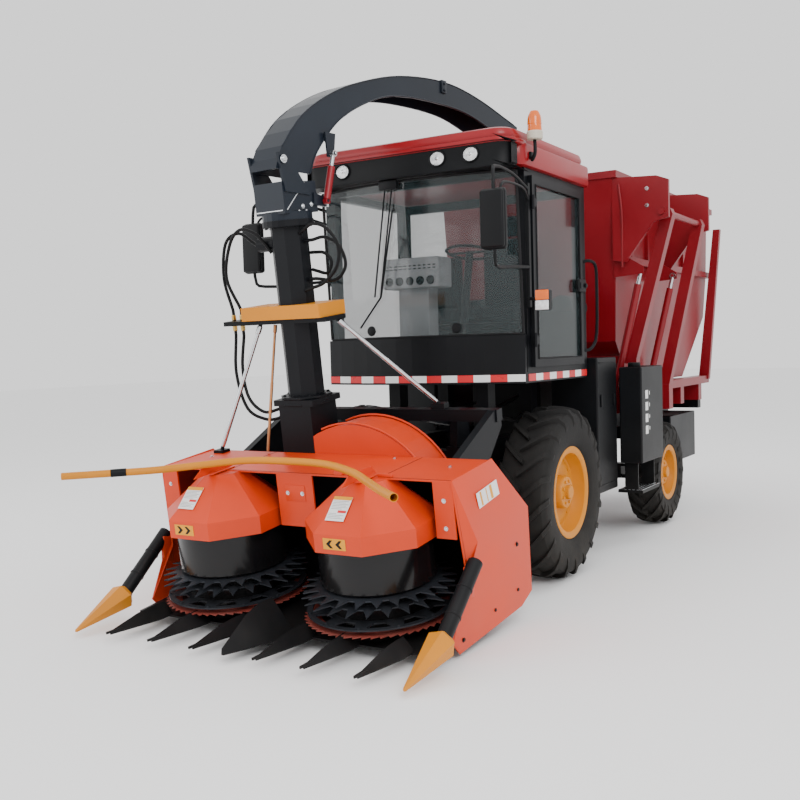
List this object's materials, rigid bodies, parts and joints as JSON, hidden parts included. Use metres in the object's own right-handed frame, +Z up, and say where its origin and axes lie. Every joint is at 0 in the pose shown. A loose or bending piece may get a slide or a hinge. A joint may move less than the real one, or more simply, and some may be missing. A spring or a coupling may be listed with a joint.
{
  "type": "forage harvester",
  "caption": "Self-propelled forage harvester with a rotor header, a swivelling discharge spout over the cab and a side-tipping crop bin on four wheels.",
  "frame": {"origin": "on the ground under the middle of the machine's length and width", "axes": "+Z up, the machine faces -Y, its left side is +X"},
  "size_m": [2.6, 7.4545, 3.755],
  "materials": {
    "black_paint": "satin",
    "engine_paint": "matt",
    "orange_paint": "gloss",
    "crimson_paint": "gloss",
    "yellow_paint": "gloss",
    "slate_paint": "gloss",
    "steel": "polished",
    "tyre": "matt",
    "hose": "matt",
    "glass": "clear",
    "upholstery": "matt",
    "black_plastic": "satin",
    "grey_plastic": "matt",
    "amber_plastic": "gloss"
  },
  "bodies": {
    "chassis": {"main_frame": "black_paint", "front_axle": "black_paint", "rear_axle": "black_paint", "engine": "engine_paint", "radiator": "black_paint", "side_tank": "black_plastic", "fuel_tank": "black_plastic", "hydraulic_tank": "black_plastic", "rear_box": "black_paint", "cab_floor": "black_paint", "cab_frame": "black_paint", "cab_roof": "crimson_paint", "roof_fascia": "black_plastic", "windshield": "glass", "right_window": "glass", "rear_window": "glass", "driver_seat": "upholstery", "passenger_seat": "upholstery", "steering_column": "black_plastic", "air_unit": "grey_plastic", "left_mirror": "black_plastic", "right_mirror": "black_plastic", "beacon": "amber_plastic", "bin_stand": "crimson_paint"},
    "front_left_wheel": {"front_left_tyre": "tyre", "front_left_rim": "yellow_paint"},
    "front_right_wheel": {"front_right_tyre": "tyre", "front_right_rim": "yellow_paint"},
    "rear_left_wheel": {"rear_left_tyre": "tyre", "rear_left_rim": "yellow_paint"},
    "rear_right_wheel": {"rear_right_tyre": "tyre", "rear_right_rim": "yellow_paint"},
    "rear_left_knuckle": {"rear_left_knuckle": "black_paint"},
    "rear_right_knuckle": {"rear_right_knuckle": "black_paint"},
    "cab_door": {"cab_door": "black_paint", "door_glass": "glass"},
    "header": {"header_frame": "black_paint", "header_deck": "orange_paint", "left_side_panel": "orange_paint", "right_side_panel": "orange_paint", "left_divider": "yellow_paint", "right_divider": "yellow_paint", "push_bar": "yellow_paint", "blower_housing": "orange_paint", "tower": "black_paint", "tower_band": "yellow_paint", "slew_hose": "hose", "header_hose": "hose", "valve_hose": "hose"},
    "left_rotor": {"left_rotor": "black_paint"},
    "right_rotor": {"right_rotor": "black_paint"},
    "spout_head": {"swivel_head": "slate_paint"},
    "spout": {"spout": "slate_paint"},
    "spout_cylinder": {"lift_cylinder": "crimson_paint"},
    "spout_rod": {"lift_rod": "steel"},
    "bin": {"bin": "crimson_paint"},
    "front_tip_cylinder": {"front_tip_cylinder": "crimson_paint"},
    "front_tip_rod": {"front_tip_rod": "steel"},
    "rear_tip_cylinder": {"rear_tip_cylinder": "crimson_paint"},
    "rear_tip_rod": {"rear_tip_rod": "steel"}
  },
  "joints": [
    {"name": "front_left_wheel", "type": "hinge", "parent": "chassis", "child": "front_left_wheel", "pos_m": [0.83, -0.93275, 0.6325], "axis": [1, 0, 0], "continuous": true},
    {"name": "front_right_wheel", "type": "hinge", "parent": "chassis", "child": "front_right_wheel", "pos_m": [-0.83, -0.93275, 0.6325], "axis": [1, 0, 0], "continuous": true},
    {"name": "left_steer", "type": "hinge", "parent": "chassis", "child": "rear_left_knuckle", "pos_m": [0.6, 1.56725, 0.4825], "axis": [0, 0, 1], "range_deg": [-28, 28]},
    {"name": "rear_left_wheel", "type": "hinge", "parent": "rear_left_knuckle", "child": "rear_left_wheel", "pos_m": [0.84, 1.56725, 0.4825], "axis": [1, 0, 0], "continuous": true},
    {"name": "right_steer", "type": "hinge", "parent": "chassis", "child": "rear_right_knuckle", "pos_m": [-0.6, 1.56725, 0.4825], "axis": [0, 0, 1], "range_deg": [-28, 28]},
    {"name": "rear_right_wheel", "type": "hinge", "parent": "rear_right_knuckle", "child": "rear_right_wheel", "pos_m": [-0.84, 1.56725, 0.4825], "axis": [1, 0, 0], "continuous": true},
    {"name": "cab_door", "type": "hinge", "parent": "chassis", "child": "cab_door", "pos_m": [0.874, -1.27775, 2.2], "axis": [0, 0, -1], "range_deg": [0, 80]},
    {"name": "header_lift", "type": "hinge", "parent": "chassis", "child": "header", "pos_m": [0, -1.53275, 1.22], "axis": [-1, 0, 0], "range_deg": [0, 8]},
    {"name": "left_rotor", "type": "hinge", "parent": "header", "child": "left_rotor", "pos_m": [0.55, -2.88282, 0.34842], "axis": [0, -0.1253, 0.9921], "continuous": true},
    {"name": "right_rotor", "type": "hinge", "parent": "header", "child": "right_rotor", "pos_m": [-0.55, -2.88282, 0.34842], "axis": [0, -0.1253, 0.9921], "continuous": true},
    {"name": "spout_slew", "type": "hinge", "parent": "header", "child": "spout_head", "pos_m": [-0.33, -2.5037, 2.57348], "axis": [0, -0.1253, 0.9921], "range_deg": [-15, 105]},
    {"name": "spout_lift", "type": "hinge", "parent": "spout_head", "child": "spout", "pos_m": [-0.3488, -2.67759, 2.93], "axis": [0.9921, -0.1253, 0], "range_deg": [0, 20]},
    {"name": "spout_cylinder_pivot", "type": "hinge", "parent": "spout_head", "child": "spout_cylinder", "pos_m": [-0.13575, -2.33156, 2.7], "axis": [0.9921, -0.1253, 0], "range_deg": [0, 11.84]},
    {"name": "spout_rod_slide", "type": "slide", "parent": "spout_cylinder", "child": "spout_rod", "axis": [0.0304, 0.2406, 0.9701], "range_m": [0, 0.1412]},
    {"name": "bin_tip", "type": "hinge", "parent": "chassis", "child": "bin", "pos_m": [1.24, 1.19725, 2.8], "axis": [0, 1, 0], "range_deg": [0, 100]},
    {"name": "front_tip_cylinder_pivot", "type": "hinge", "parent": "chassis", "child": "front_tip_cylinder", "pos_m": [0.8, 0.62225, 1.36], "axis": [0, 1, 0], "range_deg": [-13.39, 0.5]},
    {"name": "front_tip_rod_slide", "type": "slide", "parent": "front_tip_cylinder", "child": "front_tip_rod", "axis": [0.2307, 0, 0.973], "range_m": [0, 0.7346]},
    {"name": "rear_tip_cylinder_pivot", "type": "hinge", "parent": "chassis", "child": "rear_tip_cylinder", "pos_m": [0.8, 1.57225, 1.36], "axis": [0, 1, 0], "range_deg": [-13.39, 0.5]},
    {"name": "rear_tip_rod_slide", "type": "slide", "parent": "rear_tip_cylinder", "child": "rear_tip_rod", "axis": [0.2307, 0, 0.973], "range_m": [0, 0.7346]}
  ],
  "couplings": [
    {"joint": "right_steer", "follows": "left_steer", "ratio": 1},
    {"joint": "spout_cylinder_pivot", "follows": "spout_lift", "ratio": 0.56689},
    {"joint": "spout_rod_slide", "follows": "spout_lift", "m_per_rad": 0.39864},
    {"joint": "front_tip_cylinder_pivot", "follows": "bin_tip", "ratio": -0.12888},
    {"joint": "front_tip_rod_slide", "follows": "bin_tip", "m_per_rad": 0.41917},
    {"joint": "rear_tip_cylinder_pivot", "follows": "bin_tip", "ratio": -0.12888},
    {"joint": "rear_tip_rod_slide", "follows": "bin_tip", "m_per_rad": 0.41917}
  ]
}
